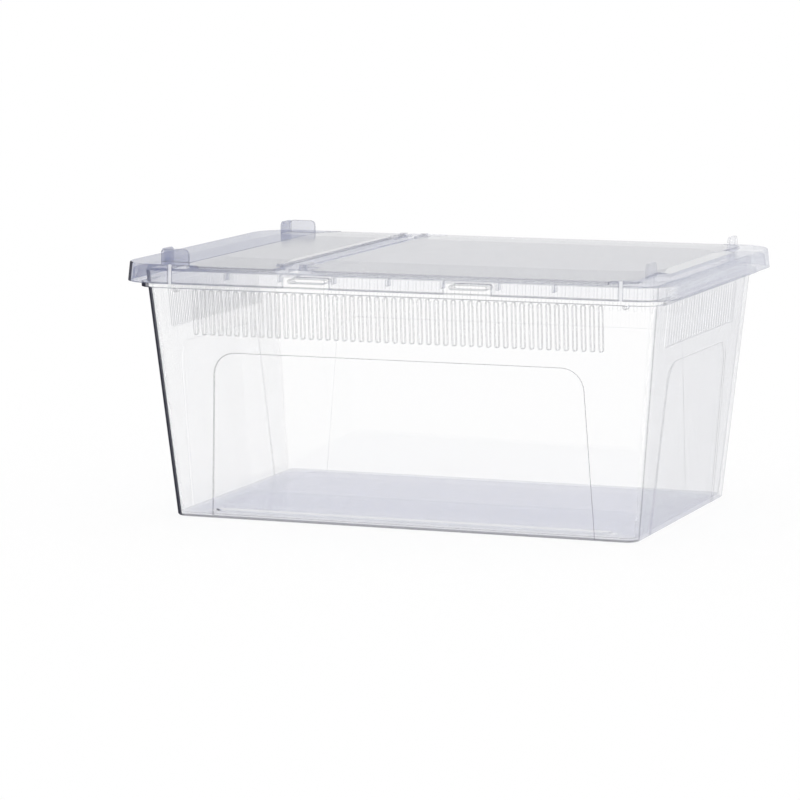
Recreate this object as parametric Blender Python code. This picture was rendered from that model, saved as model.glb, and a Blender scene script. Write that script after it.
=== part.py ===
"""Clear breeding box: a drafted tub with slotted walls, and a lift-off lid frame with two hinged doors.

Metres, +Z up. The origin is the centre of the tub's flat underside, +X runs along the length
and +Y to the back. The tub is on the axes, and the lid is shown closed.
"""

import math

import bmesh
import bpy
from mathutils import Matrix, Vector

# Whole object
LENGTH = 0.3300
DEPTH = 0.2250
HEIGHT = 0.1556
GAP = 0.0003
OVERRUN = 0.0040
BITE = 0.0006

# Lid frame
TAB_HEIGHT = 0.0075
SKIRT_WALL = 0.0020
SKIRT_CORNER = 0.0235
SKIRT_DRAFT_X = 0.0010
SKIRT_DRAFT_Y = 0.0005
SKIRT_CLEARANCE = 0.0006
RIM_EDGE = 0.0006
DOOR_RECESS = 0.0020
LEDGE_THICK = 0.0017
LEDGE_WIDTH = 0.0050
SIDE_LEDGE_WIDTH = 0.0170
END_LEDGE_WIDTH = 0.0100
OPENING_CORNER = 0.0080
POCKET_CORNER = 0.0020
NOTCH_SIDE_ROOM = 0.00275
NOTCH_TOP_ROOM = 0.0010
NOTCH_CORNER = 0.0010
GROOVE_DEPTH = 0.0007
GUSSET_PITCH = 0.0325
GUSSETS_EACH_SIDE = 3
GUSSET_THICK = 0.0012
GUSSET_REACH = 0.0050
GUSSET_LIFT = 0.0032

# Tub walls, from the brim down
FLANGE_INSET = 0.0079
FLANGE_REACH = 0.0036
FLANGE_DROP = 0.0104
FLANGE_THICK = 0.0028
FLANGE_CORNER = 0.0150
WALL_LEAN_X = 0.0138
WALL_LEAN_Y = 0.0115
TUB_CORNER = 0.0080
TUB_WALL = 0.0022
BASE_EDGE = 0.0008
FLOOR = 0.0020
FLOOR_RISE = 0.0008
FLOOR_RISE_MARGIN_X = 0.0192
FLOOR_RISE_MARGIN_Y = 0.0125
FLOOR_RISE_SLOPE = 0.0010
FLOOR_RISE_CORNER = 0.0060

# Vent slots
SLOT_PITCH = 0.00505
SLOT_WIDTH = 0.0020
SLOT_LENGTH = 0.0258
SLOT_DROP = 0.0010
LONG_SLOT_MARGIN = 0.0280
END_SLOT_MARGIN = 0.0315

# Recessed wall panels, open at the base
PANEL_DEPTH = 0.0010
PANEL_DROP = 0.0098
PANEL_LEAN = 0.0051
LONG_PANEL_MARGIN = 0.0244
END_PANEL_MARGIN = 0.0270
PANEL_CORNER = 0.0130

# Catches and guide feet on the tub
CATCH_X = 0.0480
CATCH_LENGTH = 0.0225
CATCH_HEIGHT = 0.0028
CATCH_RISE = 0.0046
CATCH_SETBACK = 0.0010
GUIDE_LEFT_INSET = 0.0339
GUIDE_RIGHT_INSET = 0.0283
GUIDE_WIDTH = 0.0025
GUIDE_FOOT_DROP = 0.0022

# Doors
DOOR_CLEARANCE = 0.00035
DOOR_EDGE_THICK = 0.0015
DOOR_CROWN = 0.0012
DOOR_SKIN = 0.0017
DOOR_HINGE_SLOPE = 0.0024
DOOR_SIDE_SLOPE = 0.0430
DOOR_RIM_WIDTH = 0.0020
DOOR_OVERSHOOT = 0.0015
SMALL_CORNER = 0.0012
FEEDING_INSET = 0.0400
FEEDING_LENGTH = 0.0544
FEEDING_HEEL_REACH = 0.0007
FEEDING_END_SLOPE = 0.0046
FEEDING_CORNER = 0.0200
MAIN_INSET = 0.0145
MAIN_HEEL_REACH = 0.0105
MAIN_END_SLOPE = 0.0070
MAIN_CORNER = 0.0310
MAIN_LIP_HALF = 0.0640
MAIN_LIP_REACH = 0.0071

# Hinges, one axis at each edge of the crossbar
AXIS_REACH = 0.0026
AXIS_SPACING = 0.0135
BARREL_RADIUS = 0.0016
BARREL_LENGTH = 0.0127
PIN_RADIUS = 0.0008
PIN_PLAY = 0.0001
WEB_THICK = 0.0014
EAR_INSET = 0.0150
EAR_THICK = 0.0036
EAR_WIDTH = 0.0036
EAR_RISE = 0.0016
HEAD_ROOM = 0.0007
HINGE_ROOM = 0.0004

# Stacking tabs
TAB_THICK = 0.0015
TAB_CORNER = 0.0030
LEFT_TAB_INSET_X = 0.0224
LEFT_TAB_INSET_Y = 0.0150
LEFT_TAB_LONG_LEG = 0.0171
LEFT_TAB_SHORT_LEG = 0.0150
RIGHT_TAB_INSET_X = 0.0194
RIGHT_TAB_INSET_Y = 0.0223
RIGHT_TAB_WIDTH = 0.0164

# Resolution
ARC_STEPS = 8
FINE_ARC_STEPS = 4
ROUND_SIDES = 24
SMOOTH_ANGLE = math.radians(35)

# Colours and finish of the clear plastic
TUB_COLOUR = (0.90, 0.92, 0.96)
FRAME_COLOUR = (0.84, 0.85, 0.92)
FEEDING_DOOR_COLOUR = (0.80, 0.82, 0.88)
MAIN_DOOR_COLOUR = (0.82, 0.83, 0.89)
POLISHED = 0.10
MOULDED = 0.16
SATIN = 0.20

LEFT, RIGHT = -1, 1
FRONT, BACK = -1, 1

# Heights, from the tabs' tops down to the slots, and back up to the doors
RIM_TOP_Z = HEIGHT - TAB_HEIGHT
LEDGE_TOP_Z = RIM_TOP_Z - DOOR_RECESS
LEDGE_BOTTOM_Z = LEDGE_TOP_Z - LEDGE_THICK
BRIM_Z = LEDGE_BOTTOM_Z - GAP
FLANGE_BOTTOM_Z = BRIM_Z - FLANGE_DROP
FLANGE_TOP_Z = FLANGE_BOTTOM_Z + FLANGE_THICK
SKIRT_BOTTOM_Z = FLANGE_TOP_Z + SKIRT_CLEARANCE
GUSSET_BOTTOM_Z = SKIRT_BOTTOM_Z + GUSSET_LIFT
CATCH_Z = FLANGE_TOP_Z + CATCH_RISE
NOTCH_TOP_Z = CATCH_Z + CATCH_HEIGHT / 2 + NOTCH_TOP_ROOM
SLOT_TOP_Z = FLANGE_BOTTOM_Z - SLOT_DROP
SLOT_BOTTOM_Z = SLOT_TOP_Z - SLOT_LENGTH
PANEL_TOP_Z = SLOT_BOTTOM_Z - PANEL_DROP
DOOR_BOTTOM_Z = LEDGE_TOP_Z + GAP
DOOR_EDGE_TOP_Z = DOOR_BOTTOM_Z + DOOR_EDGE_THICK
DOOR_TOP_Z = DOOR_EDGE_TOP_Z + DOOR_CROWN
DOOR_UNDER_Z = DOOR_TOP_Z - DOOR_SKIN
HINGE_AXIS_Z = LEDGE_TOP_Z + BARREL_RADIUS + GAP
EAR_TOP_Z = HINGE_AXIS_Z + EAR_RISE

# Half sizes, from the lid's skirt inwards
SKIRT_HALF_X = LENGTH / 2
SKIRT_HALF_Y = DEPTH / 2
RIM_HALF_Y = SKIRT_HALF_Y - SKIRT_DRAFT_Y
FLANGE_HALF_X = SKIRT_HALF_X - FLANGE_INSET
FLANGE_HALF_Y = SKIRT_HALF_Y - FLANGE_INSET
BRIM_HALF_X = FLANGE_HALF_X - FLANGE_REACH
BRIM_HALF_Y = FLANGE_HALF_Y - FLANGE_REACH
BASE_HALF_X = BRIM_HALF_X - WALL_LEAN_X
BASE_HALF_Y = BRIM_HALF_Y - WALL_LEAN_Y
NOTCH_HALF = CATCH_LENGTH / 2 + NOTCH_SIDE_ROOM
GUIDE_LEFT_X = GUIDE_LEFT_INSET - SKIRT_HALF_X
GUIDE_RIGHT_X = SKIRT_HALF_X - GUIDE_RIGHT_INSET

# Doors and hinges along the lid
FEEDING_OUTER_X = FEEDING_INSET - SKIRT_HALF_X
FEEDING_EDGE_X = FEEDING_OUTER_X + FEEDING_LENGTH
FEEDING_AXIS_X = FEEDING_EDGE_X + AXIS_REACH
FEEDING_HEEL_X = FEEDING_AXIS_X + FEEDING_HEEL_REACH
MAIN_OUTER_X = SKIRT_HALF_X - MAIN_INSET
MAIN_SHOULDER_X = MAIN_OUTER_X - MAIN_LIP_REACH
MAIN_AXIS_X = FEEDING_AXIS_X + AXIS_SPACING
MAIN_EDGE_X = MAIN_AXIS_X + AXIS_REACH
MAIN_HEEL_X = MAIN_AXIS_X + MAIN_HEEL_REACH
EAR_START_Y = RIM_HALF_Y - EAR_INSET
HEAD_START_Y = EAR_START_Y + EAR_THICK + HEAD_ROOM
LEFT_TAB_X = LEFT_TAB_INSET_X - SKIRT_HALF_X
LEFT_TAB_Y = SKIRT_HALF_Y - LEFT_TAB_INSET_Y
RIGHT_TAB_X = SKIRT_HALF_X - RIGHT_TAB_INSET_X
RIGHT_TAB_OUTER_Y = SKIRT_HALF_Y - RIGHT_TAB_INSET_Y
RIGHT_TAB_INNER_Y = RIGHT_TAB_OUTER_Y - RIGHT_TAB_WIDTH


def clear_scene():
    for obj in list(bpy.data.objects):
        bpy.data.objects.remove(obj, do_unlink=True)
    for collection in list(bpy.data.collections):
        bpy.data.collections.remove(collection)


def new_collection(name):
    collection = bpy.data.collections.new(name)
    bpy.context.scene.collection.children.link(collection)
    return collection


def plastic(name, colour, roughness):
    material = bpy.data.materials.new(name)
    material.use_nodes = True
    shader = material.node_tree.nodes["Principled BSDF"]
    shader.inputs["Base Color"].default_value = (*colour, 1)
    shader.inputs["Roughness"].default_value = roughness
    shader.inputs["Metallic"].default_value = 0
    return material


def wall_half(base, brim, z):
    """Half size of the drafted outer wall at height z."""
    return base + (brim - base) * z / BRIM_Z


def arc(centre_a, centre_b, radius, first, last, steps):
    points = []
    for step in range(steps + 1):
        angle = first + (last - first) * step / steps
        points.append((centre_a + radius * math.cos(angle), centre_b + radius * math.sin(angle)))
    return points


def outline(x0, x1, corners, reaches, limit=None, steps=ARC_STEPS):
    """Rounded rectangle, anticlockwise from the low-x front corner.

    corners and reaches hold the corner radius and the half depth at low x and at high x. With a
    limit, corner arcs that reach past |y| = limit are cut off there.
    """
    points = []
    turns = ((LEFT, FRONT, 180), (RIGHT, FRONT, 270), (RIGHT, BACK, 0), (LEFT, BACK, 90))
    for side_x, side_y, start in turns:
        radius, reach = (corners[0], reaches[0]) if side_x == LEFT else (corners[1], reaches[1])
        centre_x = x0 + radius if side_x == LEFT else x1 - radius
        centre_y = side_y * (reach - radius)
        first, last = math.radians(start), math.radians(start + 90)
        if limit is not None and reach > limit:
            cut = math.pi / 2 - math.asin((limit - reach + radius) / radius)
            if side_x * side_y == LEFT * FRONT:
                last -= cut
            else:
                first += cut
        points += arc(centre_x, centre_y, radius, first, last, steps)
    return points


def box_outline(half_x, half_y, corner):
    return outline(-half_x, half_x, (corner, corner), (half_y, half_y))


def at_height(points, z):
    return [Vector((x, y, z)) for x, y in points]


def add_loft(mesh, rings):
    """Adds a closed body: rings joined by quads, with a cap on the first and on the last."""
    rows = [[mesh.verts.new(point) for point in ring] for ring in rings]
    count = len(rows[0])
    for lower, upper in zip(rows, rows[1:]):
        for i in range(count):
            j = (i + 1) % count
            mesh.faces.new((lower[i], lower[j], upper[j], upper[i]))
    mesh.faces.new(list(reversed(rows[0])))
    mesh.faces.new(rows[-1])


def add_box(mesh, low, high):
    size = [b - a for a, b in zip(low, high)]
    centre = [(a + b) / 2 for a, b in zip(low, high)]
    place = Matrix.Translation(centre) @ Matrix.Diagonal((*size, 1))
    bmesh.ops.create_cube(mesh, size=1, matrix=place)


def add_prism(mesh, points, start, end, axis):
    """Adds a prism over an outline of (across, z) points, running along the axis X or Y."""
    if axis == "Y":
        near = [Vector((a, start, z)) for a, z in points]
        far = [Vector((a, end, z)) for a, z in points]
    else:
        near = [Vector((start, a, z)) for a, z in points]
        far = [Vector((end, a, z)) for a, z in points]
    add_loft(mesh, [near, far])


def add_rod(mesh, x, z, start, end, radius):
    """Adds a round rod along Y."""
    turn = Matrix.Rotation(math.pi / 2, 4, "X")
    place = Matrix.Translation((x, (start + end) / 2, z)) @ turn
    bmesh.ops.create_cone(
        mesh,
        cap_ends=True,
        segments=ROUND_SIDES,
        radius1=radius,
        radius2=radius,
        depth=abs(end - start),
        matrix=place,
    )


def finish(name, mesh, collection, material=None, origin=(0, 0, 0)):
    bmesh.ops.recalc_face_normals(mesh, faces=mesh.faces)
    data = bpy.data.meshes.new(name)
    mesh.to_mesh(data)
    mesh.free()
    data.transform(Matrix.Translation(-Vector(origin)))
    data.shade_smooth()
    data.set_sharp_from_angle(angle=SMOOTH_ANGLE)
    obj = bpy.data.objects.new(name, data)
    obj.location = origin
    collection.objects.link(obj)
    if material:
        data.materials.append(material)
    return obj


def helper(name, mesh):
    obj = finish(name, mesh, cutters)
    obj.hide_render = True
    obj.display_type = "WIRE"
    return obj


def combine(target, other, operation):
    modifier = target.modifiers.new(other.name, "BOOLEAN")
    modifier.operation = operation
    modifier.solver = "EXACT"
    modifier.object = other


def capsule(centre, z0, z1, width, steps):
    """Upright slot outline as (across, z) points, with round ends."""
    radius = width / 2
    lower = arc(centre, z0 + radius, radius, math.pi, 2 * math.pi, steps)
    upper = arc(centre, z1 - radius, radius, 0, math.pi, steps)
    return lower + upper


def pill(centre, z, length, height, steps):
    """Lying slot outline as (across, z) points, with round ends."""
    radius = height / 2
    reach = length / 2 - radius
    right_end = arc(centre + reach, z, radius, -math.pi / 2, math.pi / 2, steps)
    left_end = arc(centre - reach, z, radius, math.pi / 2, 3 * math.pi / 2, steps)
    return right_end + left_end


def arch(low, high, foot_z, top_z, corner, steps):
    """Upright outline as (across, z) points, with a flat foot and round top corners."""
    right_top = arc(high - corner, top_z - corner, corner, 0, math.pi / 2, steps)
    left_top = arc(low + corner, top_z - corner, corner, math.pi / 2, math.pi, steps)
    return [(low, foot_z), (high, foot_z)] + right_top + left_top


def panel_outline(foot_half, head_half, top_z, corner, steps):
    """Wall panel outline as (across, z) points: open at the base, leaning sides, round top corners."""
    slope = (foot_half - head_half) / top_z
    low_z = -OVERRUN
    lean = math.atan(slope)
    centre_z = top_z - corner
    centre_x = foot_half - slope * centre_z - corner / math.cos(lean)
    foot = [(-foot_half + slope * low_z, low_z), (foot_half - slope * low_z, low_z)]
    right_top = arc(centre_x, centre_z, corner, lean, math.pi / 2, steps)
    left_top = arc(-centre_x, centre_z, corner, math.pi / 2, math.pi - lean, steps)
    return foot + right_top + left_top


def add_panel(mesh, points, base, brim, side, axis):
    """Adds a slab along a drafted wall: from outside it to the panel's depth in it."""
    rings = []
    for offset in (OVERRUN, -PANEL_DEPTH):
        ring = []
        for across, z in points:
            out = side * (wall_half(base, brim, z) + offset)
            ring.append(Vector((across, out, z)) if axis == "Y" else Vector((out, across, z)))
        rings.append(ring)
    add_loft(mesh, rings)


def build_tub(collection, material):
    def wall(z, inset=0.0):
        half_x = wall_half(BASE_HALF_X, BRIM_HALF_X, z) - inset
        half_y = wall_half(BASE_HALF_Y, BRIM_HALF_Y, z) - inset
        return at_height(box_outline(half_x, half_y, TUB_CORNER - inset), z)

    def step(half_x, half_y, corner, z):
        return at_height(box_outline(half_x, half_y, corner), z)

    rise_x = BASE_HALF_X - FLOOR_RISE_MARGIN_X
    rise_y = BASE_HALF_Y - FLOOR_RISE_MARGIN_Y
    slope = FLOOR_RISE_SLOPE
    mesh = bmesh.new()
    add_loft(
        mesh,
        [
            step(BASE_HALF_X - BASE_EDGE, BASE_HALF_Y - BASE_EDGE, TUB_CORNER - BASE_EDGE, 0),
            wall(BASE_EDGE),
            wall(FLANGE_BOTTOM_Z),
            step(FLANGE_HALF_X, FLANGE_HALF_Y, FLANGE_CORNER, FLANGE_BOTTOM_Z),
            step(FLANGE_HALF_X, FLANGE_HALF_Y, FLANGE_CORNER, FLANGE_TOP_Z),
            wall(FLANGE_TOP_Z),
            wall(BRIM_Z),
            wall(BRIM_Z, TUB_WALL),
            wall(FLOOR, TUB_WALL),
            step(rise_x, rise_y, FLOOR_RISE_CORNER, FLOOR),
            step(rise_x - slope, rise_y - slope, FLOOR_RISE_CORNER - slope, FLOOR + FLOOR_RISE),
        ],
    )
    tub = finish("tub", mesh, collection, material)

    mesh = bmesh.new()
    for side in (FRONT, BACK):
        wall_y = wall_half(BASE_HALF_Y, BRIM_HALF_Y, CATCH_Z)
        root = side * (wall_y - TUB_WALL / 2)
        tip = side * (RIM_HALF_Y - CATCH_SETBACK)
        for x in (-CATCH_X, CATCH_X):
            add_prism(mesh, pill(x, CATCH_Z, CATCH_LENGTH, CATCH_HEIGHT, FINE_ARC_STEPS), root, tip, "Y")
    combine(tub, helper("catches", mesh), "UNION")

    mesh = bmesh.new()
    for side in (FRONT, BACK):
        foot_z = FLANGE_BOTTOM_Z - GUIDE_FOOT_DROP
        root = side * (wall_half(BASE_HALF_Y, BRIM_HALF_Y, foot_z) - TUB_WALL / 2)
        tip = side * (FLANGE_HALF_Y - GAP)
        for x in (GUIDE_LEFT_X, GUIDE_RIGHT_X):
            foot = capsule(x, foot_z, FLANGE_TOP_Z - GAP, GUIDE_WIDTH, FINE_ARC_STEPS)
            add_prism(mesh, foot, root, tip, "Y")
    combine(tub, helper("guide_feet", mesh), "UNION")

    mesh = bmesh.new()
    long_foot = BASE_HALF_X - LONG_PANEL_MARGIN
    end_foot = BASE_HALF_Y - END_PANEL_MARGIN
    long_panel = panel_outline(long_foot, long_foot - PANEL_LEAN, PANEL_TOP_Z, PANEL_CORNER, ARC_STEPS)
    end_panel = panel_outline(end_foot, end_foot - PANEL_LEAN, PANEL_TOP_Z, PANEL_CORNER, ARC_STEPS)
    for side in (FRONT, BACK):
        add_panel(mesh, long_panel, BASE_HALF_Y, BRIM_HALF_Y, side, "Y")
    for side in (LEFT, RIGHT):
        add_panel(mesh, end_panel, BASE_HALF_X, BRIM_HALF_X, side, "X")
    combine(tub, helper("panel_recesses", mesh), "DIFFERENCE")

    long_span = wall_half(BASE_HALF_X, BRIM_HALF_X, SLOT_BOTTOM_Z) - LONG_SLOT_MARGIN
    end_span = wall_half(BASE_HALF_Y, BRIM_HALF_Y, SLOT_BOTTOM_Z) - END_SLOT_MARGIN
    for name, span, reach, axis in (
        ("long_slots", long_span, FLANGE_HALF_Y, "Y"),
        ("end_slots", end_span, FLANGE_HALF_X, "X"),
    ):
        mesh = bmesh.new()
        each_side = math.floor(span / SLOT_PITCH)
        for i in range(-each_side, each_side + 1):
            across = i * SLOT_PITCH
            slot = capsule(across, SLOT_BOTTOM_Z, SLOT_TOP_Z, SLOT_WIDTH, FINE_ARC_STEPS)
            add_prism(mesh, slot, -reach - OVERRUN, reach + OVERRUN, axis)
        combine(tub, helper(name, mesh), "DIFFERENCE")
    return tub


def door_room(outer_x, heel_x, corner):
    """Outline of the room that the frame leaves for a door, running out through its front and back."""
    low, high = sorted((outer_x, heel_x))
    grow = DOOR_CLEARANCE
    outer, heel = corner + grow, SMALL_CORNER
    corners = (outer, heel) if outer_x < heel_x else (heel, outer)
    reach = RIM_HALF_Y + DOOR_OVERSHOOT + grow
    return outline(low - grow, high + grow, corners, (reach, reach))


def lip_shoulders(name, grow):
    """Cutters for what lies beside the main door's lifting lip, moved outwards by grow."""
    mesh = bmesh.new()
    for side in (FRONT, BACK):
        near, far = sorted((side * (MAIN_LIP_HALF + grow), side * (SKIRT_HALF_Y + OVERRUN)))
        low = (MAIN_SHOULDER_X + grow, near, LEDGE_BOTTOM_Z)
        high = (MAIN_OUTER_X + OVERRUN, far, HEIGHT + OVERRUN)
        add_box(mesh, low, high)
    return helper(name, mesh)


def tab_plate(side_a, side_b, foot_z):
    return arch(min(side_a, side_b), max(side_a, side_b), foot_z, HEIGHT, TAB_CORNER, FINE_ARC_STEPS)


def build_frame(collection, material):
    def ring(inset, draft_share, z):
        half_x = SKIRT_HALF_X - SKIRT_DRAFT_X * draft_share - inset
        half_y = SKIRT_HALF_Y - SKIRT_DRAFT_Y * draft_share - inset
        return at_height(box_outline(half_x, half_y, SKIRT_CORNER - inset), z)

    mesh = bmesh.new()
    add_loft(
        mesh,
        [
            ring(SKIRT_WALL, 1, LEDGE_BOTTOM_Z),
            ring(SKIRT_WALL, 0, SKIRT_BOTTOM_Z),
            ring(0, 0, SKIRT_BOTTOM_Z),
            ring(0, 1, RIM_TOP_Z - RIM_EDGE),
            ring(RIM_EDGE, 1, RIM_TOP_Z),
        ],
    )
    frame = finish("lid_frame", mesh, collection, material, (0, 0, LEDGE_BOTTOM_Z))

    mesh = bmesh.new()
    for door in (
        (FEEDING_OUTER_X, FEEDING_HEEL_X, FEEDING_CORNER),
        (MAIN_OUTER_X, MAIN_HEEL_X, MAIN_CORNER),
    ):
        room = door_room(*door)
        add_loft(mesh, [at_height(room, LEDGE_TOP_Z), at_height(room, RIM_TOP_Z + OVERRUN)])
    rooms = helper("door_rooms", mesh)
    combine(rooms, lip_shoulders("room_shoulders", DOOR_CLEARANCE), "DIFFERENCE")
    combine(frame, rooms, "DIFFERENCE")

    mesh = bmesh.new()
    for axis_x, heel_x in ((FEEDING_AXIS_X, FEEDING_HEEL_X), (MAIN_AXIS_X, MAIN_HEEL_X)):
        reach = BARREL_RADIUS + HINGE_ROOM
        low = min(axis_x - reach, heel_x)
        high = max(axis_x + reach, heel_x)
        add_box(mesh, (low, -HEAD_START_Y, LEDGE_TOP_Z), (high, HEAD_START_Y, RIM_TOP_Z + OVERRUN))
    combine(frame, helper("hinge_rooms", mesh), "DIFFERENCE")

    mesh = bmesh.new()
    side_y = RIM_HALF_Y - SIDE_LEDGE_WIDTH
    for x0, x1 in (
        (FEEDING_OUTER_X + LEDGE_WIDTH, FEEDING_EDGE_X - LEDGE_WIDTH),
        (MAIN_EDGE_X + LEDGE_WIDTH, MAIN_SHOULDER_X - END_LEDGE_WIDTH),
    ):
        opening = outline(x0, x1, (OPENING_CORNER, OPENING_CORNER), (side_y, side_y))
        low_z, high_z = LEDGE_BOTTOM_Z - OVERRUN, RIM_TOP_Z + OVERRUN
        add_loft(mesh, [at_height(opening, low_z), at_height(opening, high_z)])
    combine(frame, helper("door_openings", mesh), "DIFFERENCE")

    mesh = bmesh.new()
    inner_x, inner_y = BRIM_HALF_X - TUB_WALL, BRIM_HALF_Y - TUB_WALL
    rib = LEDGE_THICK + DOOR_CLEARANCE
    bar_start = FEEDING_AXIS_X + BARREL_RADIUS + HINGE_ROOM + LEDGE_THICK
    bar_end = MAIN_AXIS_X - BARREL_RADIUS - HINGE_ROOM - LEDGE_THICK
    for x0, x1 in ((-inner_x, FEEDING_OUTER_X - rib), (bar_start, bar_end)):
        pocket = outline(x0, x1, (POCKET_CORNER, POCKET_CORNER), (inner_y, inner_y))
        low_z, high_z = LEDGE_BOTTOM_Z - OVERRUN, RIM_TOP_Z - LEDGE_THICK
        add_loft(mesh, [at_height(pocket, low_z), at_height(pocket, high_z)])
    combine(frame, helper("under_pockets", mesh), "DIFFERENCE")

    mesh = bmesh.new()
    for x in (-CATCH_X, CATCH_X):
        foot_z = SKIRT_BOTTOM_Z - OVERRUN
        notch = arch(x - NOTCH_HALF, x + NOTCH_HALF, foot_z, NOTCH_TOP_Z, NOTCH_CORNER, FINE_ARC_STEPS)
        add_prism(mesh, notch, -SKIRT_HALF_Y - OVERRUN, SKIRT_HALF_Y + OVERRUN, "Y")
    combine(frame, helper("catch_notches", mesh), "DIFFERENCE")

    mesh = bmesh.new()
    for side in (FRONT, BACK):
        root = side * (RIM_HALF_Y - GROOVE_DEPTH)
        tip = side * (SKIRT_HALF_Y + OVERRUN)
        for x in (GUIDE_LEFT_X, GUIDE_RIGHT_X):
            low = (x - GUIDE_WIDTH / 2, min(root, tip), SKIRT_BOTTOM_Z - OVERRUN)
            high = (x + GUIDE_WIDTH / 2, max(root, tip), RIM_TOP_Z + OVERRUN)
            add_box(mesh, low, high)
    combine(frame, helper("guide_grooves", mesh), "DIFFERENCE")

    mesh = bmesh.new()
    for side in (FRONT, BACK):
        skirt_y = SKIRT_HALF_Y - SKIRT_WALL
        root, tip = side * (skirt_y + BITE), side * (skirt_y - GUSSET_REACH)
        places = [(MAIN_AXIS_X, NOTCH_TOP_Z)]
        for i in range(-GUSSETS_EACH_SIDE, GUSSETS_EACH_SIDE + 1):
            places.append((i * GUSSET_PITCH, GUSSET_BOTTOM_Z))
        for x, low_z in places:
            low = (x - GUSSET_THICK / 2, min(root, tip), low_z)
            high = (x + GUSSET_THICK / 2, max(root, tip), LEDGE_BOTTOM_Z + BITE)
            add_box(mesh, low, high)
    combine(frame, helper("gussets", mesh), "UNION")

    mesh = bmesh.new()
    for side in (FRONT, BACK):
        start, end = side * EAR_START_Y, side * (EAR_START_Y + EAR_THICK)
        for axis_x in (FEEDING_AXIS_X, MAIN_AXIS_X):
            low = (axis_x - EAR_WIDTH / 2, min(start, end), LEDGE_TOP_Z - BITE)
            high = (axis_x + EAR_WIDTH / 2, max(start, end), EAR_TOP_Z)
            add_box(mesh, low, high)
    combine(frame, helper("hinge_ears", mesh), "UNION")

    mesh = bmesh.new()
    for axis_x in (FEEDING_AXIS_X, MAIN_AXIS_X):
        for side in (FRONT, BACK):
            start = side * (EAR_START_Y - GAP)
            end = side * (EAR_START_Y + EAR_THICK + GAP)
            add_rod(mesh, axis_x, HINGE_AXIS_Z, start, end, PIN_RADIUS + PIN_PLAY)
    combine(frame, helper("pin_holes", mesh), "DIFFERENCE")

    for name, side in (("front_tabs", FRONT), ("back_tabs", BACK)):
        rim_foot = RIM_TOP_Z - BITE
        outer = side * LEFT_TAB_Y
        inner = side * (LEFT_TAB_Y - TAB_THICK)
        mesh = bmesh.new()
        long_leg = tab_plate(LEFT_TAB_X, LEFT_TAB_X + LEFT_TAB_LONG_LEG, rim_foot)
        add_prism(mesh, long_leg, inner, outer, "Y")
        plate = tab_plate(side * RIGHT_TAB_INNER_Y, side * RIGHT_TAB_OUTER_Y, rim_foot)
        add_prism(mesh, plate, RIGHT_TAB_X - TAB_THICK, RIGHT_TAB_X, "X")
        combine(frame, helper(name, mesh), "UNION")
        mesh = bmesh.new()
        short_leg = tab_plate(outer, side * (LEFT_TAB_Y - LEFT_TAB_SHORT_LEG), rim_foot)
        add_prism(mesh, short_leg, LEFT_TAB_X, LEFT_TAB_X + TAB_THICK, "X")
        combine(frame, helper(name + "_short_legs", mesh), "UNION")
    return frame


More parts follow.
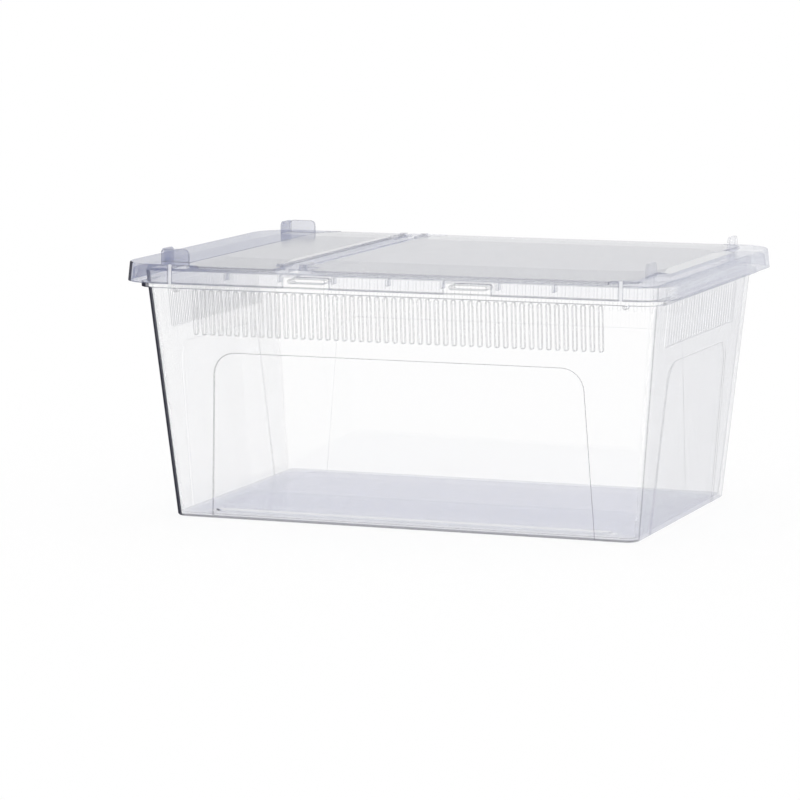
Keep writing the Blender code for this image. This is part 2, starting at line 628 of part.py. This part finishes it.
def build_door(name, collection, material, outer_x, edge_x, heel_x, corner, axis_x, slope_outer):
    """A door: a shallow crowned plate, open below, with round barrels and pins on its hinge axis.

    edge_x is the plate's edge beside the barrels, and heel_x its edge in front of and behind them.
    """
    to_heel = 1 if heel_x > outer_x else -1
    end_x = to_heel * max(to_heel * edge_x, to_heel * heel_x)
    slope_heel = DOOR_HINGE_SLOPE

    def ring(outer_inset, heel_inset, side_inset, z):
        low, high = sorted((outer_x + to_heel * outer_inset, end_x - to_heel * heel_inset))
        radius = corner - outer_inset
        corners = (radius, SMALL_CORNER) if to_heel > 0 else (SMALL_CORNER, radius)
        heel_reach = RIM_HALF_Y - side_inset
        outer_reach = heel_reach if side_inset else RIM_HALF_Y + DOOR_OVERSHOOT
        reaches = (outer_reach, heel_reach) if to_heel > 0 else (heel_reach, outer_reach)
        return at_height(outline(low, high, corners, reaches, RIM_HALF_Y), z)

    to_edge = abs(end_x - edge_x)
    rim = DOOR_RIM_WIDTH
    mesh = bmesh.new()
    add_loft(
        mesh,
        [
            ring(slope_outer + rim, to_edge + slope_heel + rim, DOOR_SIDE_SLOPE + rim, DOOR_UNDER_Z),
            ring(rim, to_edge + rim, rim, DOOR_BOTTOM_Z),
            ring(0, 0, 0, DOOR_BOTTOM_Z),
            ring(0, 0, 0, DOOR_EDGE_TOP_Z),
            ring(slope_outer, to_edge + slope_heel, DOOR_SIDE_SLOPE, DOOR_TOP_Z),
        ],
    )
    door = finish(name, mesh, collection, material, (axis_x, 0, HINGE_AXIS_Z))

    mesh = bmesh.new()
    low_z, high_z = DOOR_BOTTOM_Z - OVERRUN, DOOR_TOP_Z + OVERRUN
    if end_x == heel_x:
        low, high = sorted((edge_x, end_x + to_heel * OVERRUN))
        reach = HEAD_START_Y - GAP
        add_box(mesh, (low, -reach, low_z), (high, reach, high_z))
    else:
        low, high = sorted((heel_x, end_x + to_heel * OVERRUN))
        for side in (FRONT, BACK):
            start, end = sorted((side * (EAR_START_Y - GAP), side * (RIM_HALF_Y + OVERRUN)))
            add_box(mesh, (low, start, low_z), (high, end, high_z))
        combine(door, lip_shoulders(name + "_shoulders", 0), "DIFFERENCE")
    combine(door, helper(name + "_notches", mesh), "DIFFERENCE")

    barrel_end = EAR_START_Y - GAP
    barrel_start = barrel_end - BARREL_LENGTH
    for part, side in (("front", FRONT), ("back", BACK)):
        mesh = bmesh.new()
        low, high = sorted((side * barrel_start, side * barrel_end))
        web_root = edge_x - to_heel * DOOR_RIM_WIDTH
        x0, x1 = sorted((web_root, axis_x))
        add_box(
            mesh,
            (x0, low + BITE, HINGE_AXIS_Z - WEB_THICK / 2),
            (x1, high - BITE, HINGE_AXIS_Z + WEB_THICK / 2),
        )
        combine(door, helper(name + "_web_" + part, mesh), "UNION")
        mesh = bmesh.new()
        add_rod(mesh, axis_x, HINGE_AXIS_Z, side * barrel_start, side * barrel_end, BARREL_RADIUS)
        combine(door, helper(name + "_barrel_" + part, mesh), "UNION")
        mesh = bmesh.new()
        pin_start, pin_end = side * (barrel_end - BITE), side * (barrel_end + EAR_THICK)
        add_rod(mesh, axis_x, HINGE_AXIS_Z, pin_start, pin_end, PIN_RADIUS)
        combine(door, helper(name + "_pin_" + part, mesh), "UNION")
    return door


clear_scene()
parts = new_collection("reptile_breeding_box")
cutters = new_collection("cutters")
cutters.hide_render = True

build_tub(parts, plastic("clear_tub", TUB_COLOUR, POLISHED))
build_frame(parts, plastic("clear_lid_frame", FRAME_COLOUR, MOULDED))
build_door(
    "feeding_door",
    parts,
    plastic("clear_feeding_door", FEEDING_DOOR_COLOUR, SATIN),
    FEEDING_OUTER_X,
    FEEDING_EDGE_X,
    FEEDING_HEEL_X,
    FEEDING_CORNER,
    FEEDING_AXIS_X,
    FEEDING_END_SLOPE,
)
build_door(
    "main_door",
    parts,
    plastic("clear_main_door", MAIN_DOOR_COLOUR, SATIN),
    MAIN_OUTER_X,
    MAIN_EDGE_X,
    MAIN_HEEL_X,
    MAIN_CORNER,
    MAIN_AXIS_X,
    MAIN_END_SLOPE,
)
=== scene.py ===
"""Looks for the clear breeding box: clear moulded plastic, a white studio and the camera."""

import math

import bpy
from mathutils import Matrix, Vector

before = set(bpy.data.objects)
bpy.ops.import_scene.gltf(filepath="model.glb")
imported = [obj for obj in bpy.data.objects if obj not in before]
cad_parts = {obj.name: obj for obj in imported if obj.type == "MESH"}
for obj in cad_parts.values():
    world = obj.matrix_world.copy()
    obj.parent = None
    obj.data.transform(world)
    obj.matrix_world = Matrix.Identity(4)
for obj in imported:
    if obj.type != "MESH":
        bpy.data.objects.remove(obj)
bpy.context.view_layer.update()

WHITE = (1.0, 1.0, 1.0)

# Camera: a long lens in front of the box, turned a little to the right and above it
FRAME_PIXELS = 800
SENSOR_WIDTH = 36.0
FOCAL_PIXELS = 3910.5
AZIMUTH = math.radians(20.580)
ELEVATION = math.radians(7.784)
ROLL = math.radians(-0.111)
DISTANCE = 2.2880
AIM_ALONG = -0.03138
AIM_HEIGHT = 0.06236
CLIP_NEAR = 0.05
CLIP_FAR = 50.0

# Studio: white all round, and a pale floor that keeps the box's soft shadow
BACKDROP_STRENGTH = 1.0
LAMP_STRENGTH = 0.9
FLOOR_HALF = 4.0
FLOOR_DROP = 0.0003
FLOOR_GREY = (0.2, 0.2, 0.2)
FLOOR_GLOW = 0.82
BOUNCES = 40

# Plastic: what all four pieces share
IOR = 1.45
GLASS_SHARE = 0.12
RIM_POWER = 5.0
SHADOW_TINT = (0.95, 0.95, 0.96)
GRAIN_SCALE = 900.0
GRAIN_DETAIL = 2.0
GRAIN_STRENGTH = 0.15
GRAIN_HEIGHT = 0.0001
GRAIN_SHARES = (0.5, 1.5)
FLOW_SCALE = 22.0
FLOW_DETAIL = 3.0
FLOW_SHARES = (0.9, 1.1)

# A name that ends in BAND is a pair of values: a mask is 0 at the first, 1 at the second, smooth between

# Edge lines: painted where two faces meet, fainter at a slant; painted shade on the tub and the frame,
# painted highlights on the doors
EDGE_WIDTH = 0.0006
EDGE_SAMPLES = 4
EDGE_BAND = (0.995, 0.86)
EDGE_SLANT_SHARE = 0.4
STRONGEST_LINE = 0.95
# the colour of the painted shade along edges and outlines
PAINTED_SHADE_COLOUR = (0.03, 0.03, 0.045)

# Outlines: painted dark shade where an upright round corner turns away from the eye, strongest on the left
# half
CORNER_BAND = (0.12, 0.25)
OUTWARD_BAND = (0.0, 0.02)
TO_FRONT_BAND = (0.2, -0.2)
TUB_TURN_BAND = (0.34, 0.44)
LID_TURN_BAND = (0.62, 0.76)
LEFT_HALF_BAND = (0.05, -0.05)
RIGHT_OUTLINE_SHADE_SHARE = 0.2
PAINTED_SHADE_ROUGHNESS = 0.8

# Left end of the lid and its small door: a denser film
LEFT_END_BAND = (-0.06, -0.15)
LEFT_END_FILM = 0.10

# Slopes of the two doors that face right: a painted highlight
LIP_TILT_BAND = (0.10, 0.16)
LIP_UP_BAND = (0.90, 0.95)
LIP_LEVEL_BAND = (0.1470, 0.1476)
LIP_HIGHLIGHT = 0.75

# Lid frame: a thin film on the tabs at the right, and painted highlight streaks down the guide grooves
TAB_LEVEL_BAND = (0.1482, 0.1490)
TAB_RIGHT_BAND = (0.08, 0.10)
TAB_FILM_SHARE = 0.4
GUIDES_X = (-0.1311, 0.1367)
GUIDE_BAND = (0.0013, 0.0009)
GROOVE_INNER_BAND = (0.1106, 0.1109)
GROOVE_OUTER_BAND = (0.1119, 0.1116)
GROOVE_HIGHLIGHT = 0.85

# Tub's floor: a tinted field behind a low step, with a painted highlight strip along the step
FLOOR_FILM = 0.12
FLOOR_TINT = (0.28, 0.31, 0.52)
FLOOR_LEVEL_BAND = (0.0045, 0.0035)
FLAT_BAND = (0.6, 0.9)
STEP_BAND = (-0.0785, -0.0760)
STEP_FRONT_SHARE = 0.15
STRIP_FRONT_BAND = (-0.0785, -0.0765)
STRIP_BACK_BAND = (-0.0690, -0.0710)
STRIP_END_BAND = (0.127, 0.122)
STEP_HIGHLIGHT = 0.8

# Tub's walls: the painted shade lines are strong on the long walls' outer sides and faint on the back
# wall's inner side
FRONT_WALL_BAND = (-0.078, -0.082)
BACK_WALL_BAND = (0.085, 0.088)
TO_BACK_BAND = (0.2, 0.5)
NOT_TO_BACK_BAND = (0.5, 0.2)
OUTER_LINE_SHARE = 3.0
INNER_LINE_SHARE = 0.14
LEFT_WALL_BAND = (-0.118, -0.124)
LEFT_WALL_LINE_SHARE = 0.3

# Tub's foot: a painted grey shade line along the front
FOOT_LEVEL_BAND = (0.0022, 0.0008)
FOOT_WALL_BAND = (-0.080, -0.084)
FOOT_TILT_BAND = (-0.2, -0.5)
FOOT_PAINTED_SHADE = 0.38

# Tub's vent slots: softer painted lines, and in each end wall one painted dark shade strip a slot, at the
# wall's outer side
SLOTS_FOOT_BAND = (0.1045, 0.1065)
SLOTS_HEAD_BAND = (0.1350, 0.1330)
SLOT_LINE_SHARE = 0.48
BASE_HALF_X = 0.1397
WALL_SLOPE_X = 0.0992
END_WALL_BAND = (-0.004, -0.003)
END_WALL_SKIN_BAND = (-0.0010, -0.0006)
END_FACE_BAND = (0.7, 0.9)
END_FACE_LINE_SHARE = 0.72
SLOT_SIDE_BAND = (-0.6, -0.8)
SLOT_LEFT_BAND = (0.0, -0.1)
RIGHT_SLOT_SHADE = 0.24
LEFT_SLOT_SHADE = 0.6


def make_camera():
    back = Vector((
        math.sin(AZIMUTH) * math.cos(ELEVATION),
        -math.cos(AZIMUTH) * math.cos(ELEVATION),
        math.sin(ELEVATION),
    ))
    right = Vector((math.cos(AZIMUTH), math.sin(AZIMUTH), 0))
    up = back.cross(right)
    turned_right = right * math.cos(ROLL) + up * math.sin(ROLL)
    turned_up = up * math.cos(ROLL) - right * math.sin(ROLL)
    aim = right * AIM_ALONG + Vector((0, 0, AIM_HEIGHT))
    data = bpy.data.cameras.new("camera")
    data.sensor_width = SENSOR_WIDTH
    data.lens = SENSOR_WIDTH * FOCAL_PIXELS / FRAME_PIXELS
    data.clip_start = CLIP_NEAR
    data.clip_end = CLIP_FAR
    camera = bpy.data.objects.new("camera", data)
    bpy.context.scene.collection.objects.link(camera)
    turn = Matrix((turned_right, turned_up, back)).transposed()
    camera.matrix_world = Matrix.Translation(aim + back * DISTANCE) @ turn.to_4x4()
    bpy.context.scene.camera = camera


class Nodes:
    """Short calls for building a material's or the world's node tree."""

    def __init__(self, owner):
        owner.use_nodes = True
        self.tree = owner.node_tree
        self.tree.nodes.clear()

    def add(self, kind, settings=None, **inputs):
        node = self.tree.nodes.new("ShaderNode" + kind)
        for name, value in (settings or {}).items():
            setattr(node, name, value)
        for name, value in inputs.items():
            self.put(node.inputs[name.replace("_", " ")], value)
        return node

    def put(self, socket, value):
        """Link a node's output to the socket, or set a number or a colour there."""
        if isinstance(value, bpy.types.NodeSocket):
            self.tree.links.new(value, socket)
        elif isinstance(value, tuple):
            socket.default_value = (*value, 1)
        else:
            socket.default_value = value

    def fill(self, node, *values):
        """Give the node's first inputs the values in turn."""
        for socket, value in zip(node.inputs, values):
            self.put(socket, value)
        return node

    def math(self, operation, *values):
        return self.fill(self.add("Math", {"operation": operation}), *values).outputs[0]

    def absolute(self, value):
        return self.math("ABSOLUTE", value)

    def largest(self, *values):
        result = values[0]
        for value in values[1:]:
            result = self.math("MAXIMUM", result, value)
        return result

    def product(self, *values):
        result = values[0]
        for value in values[1:]:
            result = self.math("MULTIPLY", result, value)
        return result

    def dot(self, first, second):
        node = self.add("VectorMath", {"operation": "DOT_PRODUCT"})
        return self.fill(node, first, second).outputs["Value"]

    def between(self, share, low, high):
        """low where share is 0, and high where it is 1."""
        return self.math("ADD", self.math("MULTIPLY", share, high - low), low)

    def mask(self, value, band):
        """0 where value is at the band's start, 1 where it is at its end, and smooth between them."""
        start, end = band
        node = self.add("MapRange", {"interpolation_type": "SMOOTHSTEP"}, Value=value)
        node.inputs["From Min"].default_value = start
        node.inputs["From Max"].default_value = end
        return node.outputs[0]

    def mix_colour(self, factor, first, second):
        """first where factor is 0, and second where it is 1, by the node's sockets for colours."""
        node = self.add("Mix", {"data_type": "RGBA"})
        colours = [socket for socket in node.inputs if socket.type == "RGBA"]
        for socket, value in zip((node.inputs[0], *colours), (factor, first, second)):
            self.put(socket, value)
        return next(socket for socket in node.outputs if socket.type == "RGBA")

    def shader(self, kind, **inputs):
        return self.add(kind, **inputs).outputs[0]

    def mix_shader(self, factor, first, second):
        return self.fill(self.add("MixShader"), factor, first, second).outputs[0]

    def show(self, output, shader):
        """Link the shader to a new output node of that kind."""
        self.tree.links.new(shader, self.add(output).inputs["Surface"])


def make_backdrop():
    """White to the eye, off gloss and through glass, and a plain lamp to everything else."""
    world = bpy.data.worlds.new("studio")
    bpy.context.scene.world = world
    nodes = Nodes(world)
    path = nodes.add("LightPath").outputs
    seen = nodes.largest(path["Is Camera Ray"], path["Is Glossy Ray"], path["Is Transmission Ray"])
    shown = nodes.shader("Background", Color=WHITE, Strength=BACKDROP_STRENGTH)
    lit = nodes.shader("Background", Color=WHITE, Strength=LAMP_STRENGTH)
    nodes.show("OutputWorld", nodes.mix_shader(seen, lit, shown))


def make_floor():
    half = FLOOR_HALF
    corners = [(-half, -half), (half, -half), (half, half), (-half, half)]
    mesh = bpy.data.meshes.new("floor")
    mesh.from_pydata([(x, y, -FLOOR_DROP) for x, y in corners], [], [(0, 1, 2, 3)])
    floor = bpy.data.objects.new("floor", mesh)
    bpy.context.scene.collection.objects.link(floor)
    material = bpy.data.materials.new("white_floor")
    nodes = Nodes(material)
    paint = nodes.shader("BsdfDiffuse", Color=FLOOR_GREY)
    glow = nodes.shader("Emission", Color=WHITE, Strength=FLOOR_GLOW)
    nodes.show("OutputMaterial", nodes.fill(nodes.add("AddShader"), paint, glow).outputs[0])
    mesh.materials.append(material)


class ClearPlastic(Nodes):
    """Clear moulded plastic, a tinted film over glass, with painted shade and painted highlights along its
    edges and outlines. Each piece has its own kind, with its own values.
    """

    film = None                   # the film's colour
    haze = None                   # how much it covers face on, what a slant adds, and how steeply
    painted_line_strength = None                   # how strong the painted edge lines are
    painted_line_colour = None                   # their colour: painted shade where dark, painted highlight where white
    corners = None                # how dark the painted shade on the outlines of the front and of the back corners is
    turn_band = LID_TURN_BAND     # how edge on a corner is seen where its painted outline shade starts and is full
    glass = None                  # the glass's tint face on
    rim = None                    # its tint edge on
    roughness = None
    left_haze = 1.0               # the film's share at the left end
    left_film = None              # its colour there, where it differs
    lip_highlight = 0.0                     # how strong the painted highlight is on a slope that faces right

    def __init__(self, name):
        self.material = bpy.data.materials.new(name)
        super().__init__(self.material)
        self.facing = self.add("LayerWeight", Blend=0.5).outputs["Facing"]
        self.geometry = self.add("NewGeometry").outputs
        own = self.add("TexCoord").outputs
        self.point = own["Object"]
        self.normal = own["Normal"]
        self.x, self.y, self.z = self.add("SeparateXYZ", Vector=self.point).outputs
        self.normal_x, self.normal_y, self.normal_z = self.add("SeparateXYZ", Vector=self.normal).outputs
        self.lay_film()
        self.painted_lines = self.paint_edge_lines()
        self.painted_outline_shade = self.paint_outline_shade()
        self.lay_painted_lines()
        self.mould()

    def noise(self, scale, detail):
        return self.add("TexNoise", Vector=self.point, Scale=scale, Detail=detail).outputs[0]

    def paint_highlight(self, share, strength):
        """A painted white highlight of that strength where share is 1."""
        self.cover = self.largest(self.cover, self.product(share, strength))
        self.colour = self.mix_colour(share, self.colour, WHITE)

    def lay_film(self):
        """The film's cover, denser at a slant and at the left end, and its colour."""
        face_on, slanted, power = self.haze
        self.left = self.mask(self.x, LEFT_END_BAND)
        self.cover = self.product(
            self.between(self.math("POWER", self.facing, power), face_on, face_on + slanted),
            self.between(self.noise(FLOW_SCALE, FLOW_DETAIL), *FLOW_SHARES),
            self.between(self.left, 1.0, self.left_haze))
        self.colour = self.mix_colour(self.left, self.film, self.left_film or self.film)
        # painted highlight on the slopes that face right
        lip_highlight = self.product(
            self.mask(self.normal_x, LIP_TILT_BAND),
            self.mask(self.normal_z, LIP_UP_BAND),
            self.mask(self.z, LIP_LEVEL_BAND),
            self.lip_highlight)
        self.paint_highlight(lip_highlight, LIP_HIGHLIGHT)

    def paint_edge_lines(self):
        """Painted lines: 1 along sharp edges, times how strong the lines are."""
        bevel = self.add("Bevel", {"samples": EDGE_SAMPLES}, Radius=EDGE_WIDTH)
        bend = self.mask(self.dot(bevel.outputs["Normal"], self.geometry["Normal"]), EDGE_BAND)
        return self.product(bend, self.between(self.facing, 1.0, EDGE_SLANT_SHARE), self.painted_line_strength)

    def paint_outline_shade(self):
        """Painted dark shade along the upright round corners of the outside, seen nearly edge on."""
        front, back = self.corners
        across = self.math("MINIMUM", self.absolute(self.normal_x), self.absolute(self.normal_y))
        return self.product(
            self.mask(across, CORNER_BAND),
            self.mask(self.dot(self.point, self.normal), OUTWARD_BAND),
            self.math("SUBTRACT", 1.0, self.geometry["Backfacing"]),
            self.mask(self.facing, self.turn_band),
            self.between(self.mask(self.normal_y, TO_FRONT_BAND), back, front),
            self.between(self.mask(self.x, LEFT_HALF_BAND), RIGHT_OUTLINE_SHADE_SHARE, 1.0))

    def lay_painted_lines(self):
        # the painted edge lines and the painted dark outline shade go into the film's colour and cover
        self.colour = self.mix_colour(self.painted_lines, self.colour, self.painted_line_colour)
        self.colour = self.mix_colour(self.painted_outline_shade, self.colour, PAINTED_SHADE_COLOUR)
        self.cover = self.largest(self.cover, self.painted_lines, self.painted_outline_shade)

    def mould(self):
        """The film over the glass, with the painted outline shade in a matt shader. Shadow rays pass
        through, a little dimmed.
        """
        grain = self.noise(GRAIN_SCALE, GRAIN_DETAIL)
        smooth, rough = (self.roughness * share for share in GRAIN_SHARES)
        dull = self.between(grain, smooth, rough)
        bump = self.add("Bump", Strength=GRAIN_STRENGTH, Distance=GRAIN_HEIGHT, Height=grain)
        tint = self.mix_colour(self.math("POWER", self.facing, RIM_POWER), self.glass, self.rim)
        skin = self.shader(
            "BsdfPrincipled", Base_Color=self.colour, Roughness=dull, IOR=IOR,
            Alpha=self.cover, Normal=bump.outputs[0])
        body = self.shader(
            "BsdfPrincipled", Base_Color=tint, Roughness=dull, IOR=IOR, Transmission_Weight=1.0)
        # a matt dark shader for the painted outline shade
        painted_shade_shader = self.shader(
            "BsdfPrincipled", Base_Color=PAINTED_SHADE_COLOUR, Roughness=PAINTED_SHADE_ROUGHNESS, Specular_IOR_Level=0.0)
        plastic = self.mix_shader(self.painted_outline_shade, self.mix_shader(GLASS_SHARE, skin, body), painted_shade_shader)
        see_through = self.shader("BsdfTransparent", Color=SHADOW_TINT)
        to_lamp = self.add("LightPath").outputs["Is Shadow Ray"]
        self.show("OutputMaterial", self.mix_shader(to_lamp, plastic, see_through))


class Tub(ClearPlastic):
    """The tub's plastic, with its floor's field and painted highlight strip, its walls' painted shade lines
    and its vent slots' painted shade.
    """

    film = (0.24, 0.26, 0.36)
    haze = (0.004, 0.70, 5.0)
    painted_line_strength = 0.9
    painted_line_colour = PAINTED_SHADE_COLOUR
    corners = (0.95, 0.25)
    turn_band = TUB_TURN_BAND
    glass = (0.99, 0.99, 0.995)
    rim = (0.2, 0.2, 0.24)
    roughness = 0.03

    def lay_film(self):
        super().lay_film()
        floor = self.product(
            self.mask(self.z, FLOOR_LEVEL_BAND), self.mask(self.absolute(self.normal_z), FLAT_BAND))
        field = self.product(floor, self.between(self.mask(self.y, STEP_BAND), STEP_FRONT_SHARE, 1.0))
        self.cover = self.math("ADD", self.cover, self.product(field, FLOOR_FILM))
        self.colour = self.mix_colour(field, self.film, FLOOR_TINT)
        # painted highlight strip along the floor's step
        step_highlight = self.product(
            floor,
            self.mask(self.y, STRIP_FRONT_BAND),
            self.mask(self.y, STRIP_BACK_BAND),
            self.mask(self.absolute(self.x), STRIP_END_BAND))
        self.paint_highlight(step_highlight, STEP_HIGHLIGHT)

    def paint_edge_lines(self):
        slots = self.product(self.mask(self.z, SLOTS_FOOT_BAND), self.mask(self.z, SLOTS_HEAD_BAND))
        lines = self.product(
            super().paint_edge_lines(), self.between(slots, 1.0, SLOT_LINE_SHARE), self.wall_share())
        return self.paint_end_slot_shade(self.math("MINIMUM", lines, STRONGEST_LINE), slots)

    def wall_share(self):
        """How strong the painted lines are on the long walls' sides, and on the left wall seen from within.
        """
        back_wall = self.mask(self.y, BACK_WALL_BAND)
        to_back = self.mask(self.normal_y, TO_BACK_BAND)
        not_to_back = self.mask(self.normal_y, NOT_TO_BACK_BAND)
        inner = self.product(back_wall, not_to_back)
        outer = self.largest(
            self.product(self.mask(self.y, FRONT_WALL_BAND), not_to_back), self.product(back_wall, to_back))
        left_wall = self.product(self.mask(self.x, LEFT_WALL_BAND), self.geometry["Backfacing"])
        return self.product(
            self.between(inner, 1.0, INNER_LINE_SHARE),
            self.between(outer, 1.0, OUTER_LINE_SHARE),
            self.between(left_wall, 1.0, LEFT_WALL_LINE_SHARE))

    def paint_end_slot_shade(self, lines, slots):
        """In the end walls' slots, the painted lines give way to one painted dark shade strip a slot."""
        wall = self.between(self.z, BASE_HALF_X, BASE_HALF_X + WALL_SLOPE_X)
        past_wall = self.math("SUBTRACT", self.absolute(self.x), wall)
        end_slots = self.product(slots, self.mask(past_wall, END_WALL_BAND))
        end_face = self.mask(self.absolute(self.normal_x), END_FACE_BAND)
        hidden = self.product(end_slots, self.between(end_face, 1.0, END_FACE_LINE_SHARE))
        # painted dark shade strip in each end slot
        slot_shade = self.product(
            end_slots,
            self.mask(past_wall, END_WALL_SKIN_BAND),
            self.mask(self.normal_y, SLOT_SIDE_BAND),
            self.between(self.mask(self.x, SLOT_LEFT_BAND), RIGHT_SLOT_SHADE, LEFT_SLOT_SHADE))
        return self.largest(self.product(lines, self.between(hidden, 1.0, 0.0)), slot_shade)

    def paint_outline_shade(self):
        # painted grey shade along the tub's foot at the front
        foot_shade = self.product(
            self.mask(self.z, FOOT_LEVEL_BAND),
            self.mask(self.y, FOOT_WALL_BAND),
            self.mask(self.normal_y, FOOT_TILT_BAND),
            FOOT_PAINTED_SHADE)
        return self.largest(super().paint_outline_shade(), foot_shade)


class LidFrame(ClearPlastic):
    """The lid frame's plastic, with its dense left end, its thin tabs and painted highlight streaks down
    its guide grooves.
    """

    film = (0.37, 0.40, 0.54)
    haze = (0.06, 0.54, 3.0)
    painted_line_strength = 0.85
    painted_line_colour = PAINTED_SHADE_COLOUR
    corners = (0.9, 0.3)
    glass = (0.95, 0.95, 0.97)
    rim = (0.3, 0.3, 0.36)
    roughness = 0.06
    left_haze = 1.5
    left_film = (0.11, 0.14, 0.30)

    def lay_film(self):
        super().lay_film()
        self.cover = self.math("ADD", self.cover, self.product(self.left, LEFT_END_FILM))
        tabs = self.product(self.mask(self.z, TAB_LEVEL_BAND), self.mask(self.x, TAB_RIGHT_BAND))
        self.cover = self.product(self.cover, self.between(tabs, 1.0, TAB_FILM_SHARE))

    def lay_painted_lines(self):
        super().lay_painted_lines()
        # painted highlight streaks down the guide grooves
        from_guides = (self.absolute(self.math("SUBTRACT", self.x, x)) for x in GUIDES_X)
        guides = self.largest(*(self.mask(distance, GUIDE_BAND) for distance in from_guides))
        depth = self.absolute(self.y)
        groove_highlight = self.product(
            guides, self.mask(depth, GROOVE_INNER_BAND), self.mask(depth, GROOVE_OUTER_BAND), GROOVE_HIGHLIGHT)
        self.paint_highlight(groove_highlight, 1.0)


class Door(ClearPlastic):
    """What both doors' plastic shares: it is duller than the frame's, with painted highlights along its
    edges.
    """

    painted_line_strength = 0.8
    # white painted highlights along the doors' edges
    painted_line_colour = WHITE
    corners = (0.2, 0.2)
    rim = (0.4, 0.4, 0.43)
    roughness = 0.12


class FeedingDoor(Door):
    film = (0.35, 0.36, 0.41)
    haze = (0.20, 0.78, 2.5)
    glass = (0.94, 0.94, 0.95)
    left_haze = 1.1
    lip_highlight = 0.9


class MainDoor(Door):
    film = (0.42, 0.43, 0.48)
    haze = (0.19, 0.78, 2.5)
    glass = (0.95, 0.95, 0.96)
    lip_highlight = 0.8


def dress_pieces():
    plastics = {"tub": Tub, "lid_frame": LidFrame, "feeding_door": FeedingDoor, "main_door": MainDoor}
    for node, plastic in plastics.items():
        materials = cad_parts[node].data.materials
        materials.clear()
        materials.append(plastic("clear_" + node).material)


scene = bpy.context.scene
scene.view_settings.view_transform = "Standard"
scene.cycles.max_bounces = BOUNCES
scene.cycles.transmission_bounces = BOUNCES
scene.cycles.transparent_max_bounces = BOUNCES
make_camera()
make_backdrop()
make_floor()
dress_pieces()
